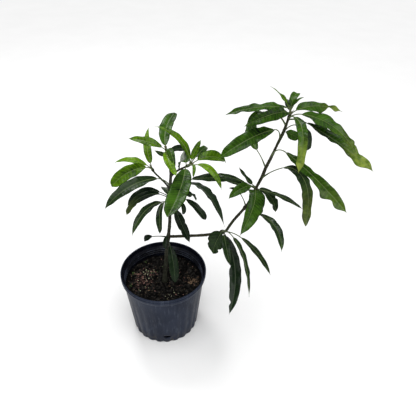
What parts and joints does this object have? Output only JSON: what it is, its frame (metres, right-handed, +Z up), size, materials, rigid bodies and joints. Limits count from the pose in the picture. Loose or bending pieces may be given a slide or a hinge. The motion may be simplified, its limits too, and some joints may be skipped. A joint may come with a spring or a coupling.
{
  "type": "potted mango sapling",
  "caption": "Young mango tree with long drooping leaves, growing in a round ribbed black nursery pot of potting mix.",
  "frame": {"origin": "centre of the pot's flat underside", "axes": "+Z up, +X towards the side that the long bough reaches out to, +Y away from the side that faces the viewer"},
  "size_m": [0.6902, 0.4626, 0.8601],
  "materials": {
    "pot": "satin",
    "soil": "rough, loose bark and peat",
    "bark": "rough bark",
    "young_bark": "smooth dark green bark",
    "leaves": "glossy leaf"
  },
  "bodies": {
    "root": {"pot": "pot", "soil": "soil", "trunk": "bark", "bough_low": "young_bark", "bough_mid": "young_bark", "bough_top": "young_bark", "twig_left": "young_bark", "twig_mid": "young_bark", "twig_right": "young_bark", "leaves_fork": "leaves", "leaves_trunk_low": "leaves", "leaves_trunk_high": "leaves", "leaves_left_tip": "leaves", "leaves_mid_tip": "leaves", "leaves_right_tip": "leaves", "leaves_low_knuckle": "leaves", "leaves_mid_ring": "leaves", "leaves_mid_knuckle": "leaves", "leaves_top_low": "leaves", "leaves_top_high": "leaves", "leaves_top_tip": "leaves"}
  },
  "joints": []
}
